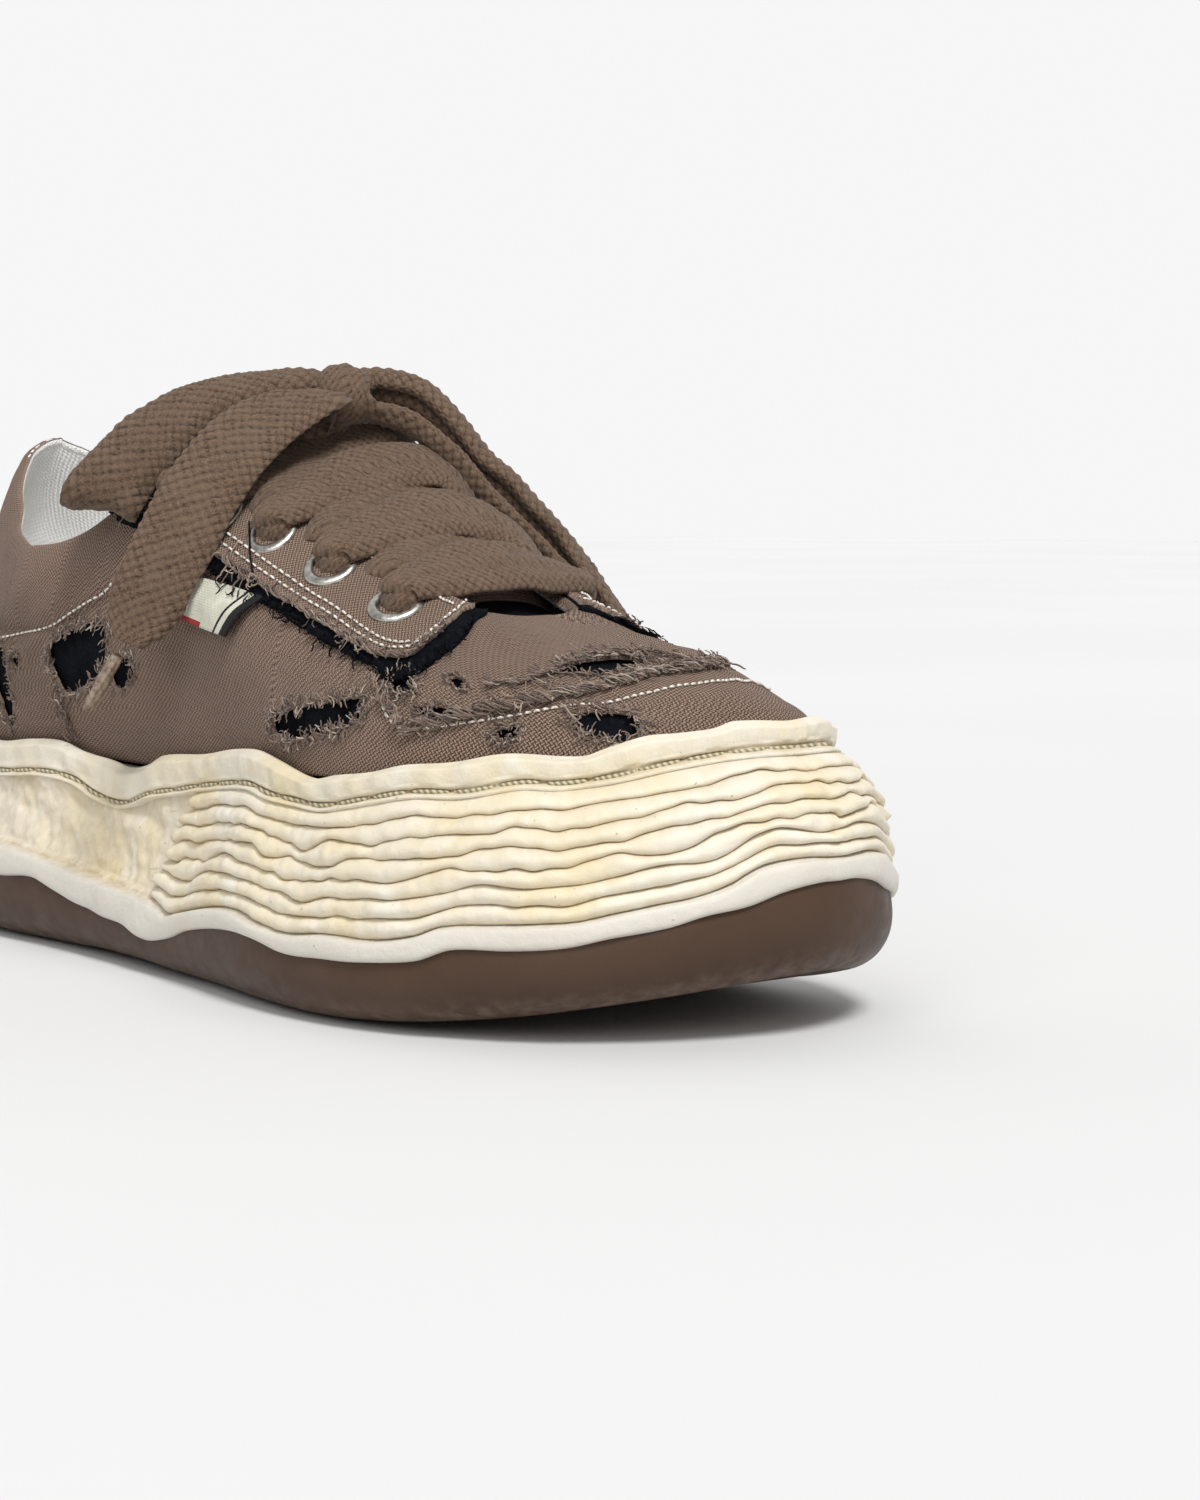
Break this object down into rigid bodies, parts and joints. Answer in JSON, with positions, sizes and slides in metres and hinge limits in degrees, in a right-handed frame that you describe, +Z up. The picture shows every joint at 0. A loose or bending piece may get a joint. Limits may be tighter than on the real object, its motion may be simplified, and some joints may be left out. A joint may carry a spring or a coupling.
{
  "type": "low-top sneaker",
  "caption": "Worn low-top canvas sneaker on a thick flared cup sole, with hollow upper, tongue, insole, rolled eyelets and a flat woven lace tied in a bow.",
  "frame": {"origin": "on the ground plane, under the middle of the sole's length and width", "axes": "+X along the shoe to the toe, +Y to the medial (big toe) side of this right shoe, +Z up"},
  "size_m": [0.3, 0.1111, 0.1354],
  "materials": {
    "outsole_rubber": "satin moulded rubber, scuffed",
    "midsole_foam": "matte moulded foam rubber, yellowed",
    "canvas": "plain-woven canvas, distressed and frayed",
    "lining": "soft white cloth",
    "lace_braid": "thick flat cotton braid",
    "eyelet_metal": "matte rolled metal",
    "aglet_wrap": "matte wrapped tip"
  },
  "bodies": {
    "root": {"outsole": "outsole_rubber", "midsole": "midsole_foam", "insole": "lining", "upper": "canvas", "tongue": "canvas", "eyelet_lateral_1": "eyelet_metal", "eyelet_lateral_2": "eyelet_metal", "eyelet_lateral_3": "eyelet_metal", "eyelet_lateral_4": "eyelet_metal", "eyelet_lateral_5": "eyelet_metal", "eyelet_medial_1": "eyelet_metal", "eyelet_medial_2": "eyelet_metal", "eyelet_medial_3": "eyelet_metal", "eyelet_medial_4": "eyelet_metal", "eyelet_medial_5": "eyelet_metal", "lace_bar": "lace_braid", "lace_cross_1": "lace_braid", "lace_cross_2": "lace_braid", "lace_cross_3": "lace_braid", "lace_tie": "lace_braid", "lace_knot": "lace_braid", "lace_loop_lateral": "lace_braid", "lace_loop_medial": "lace_braid", "lace_end_lateral": "lace_braid", "lace_end_medial": "lace_braid", "aglet_lateral": "aglet_wrap", "aglet_medial": "aglet_wrap"}
  },
  "joints": []
}
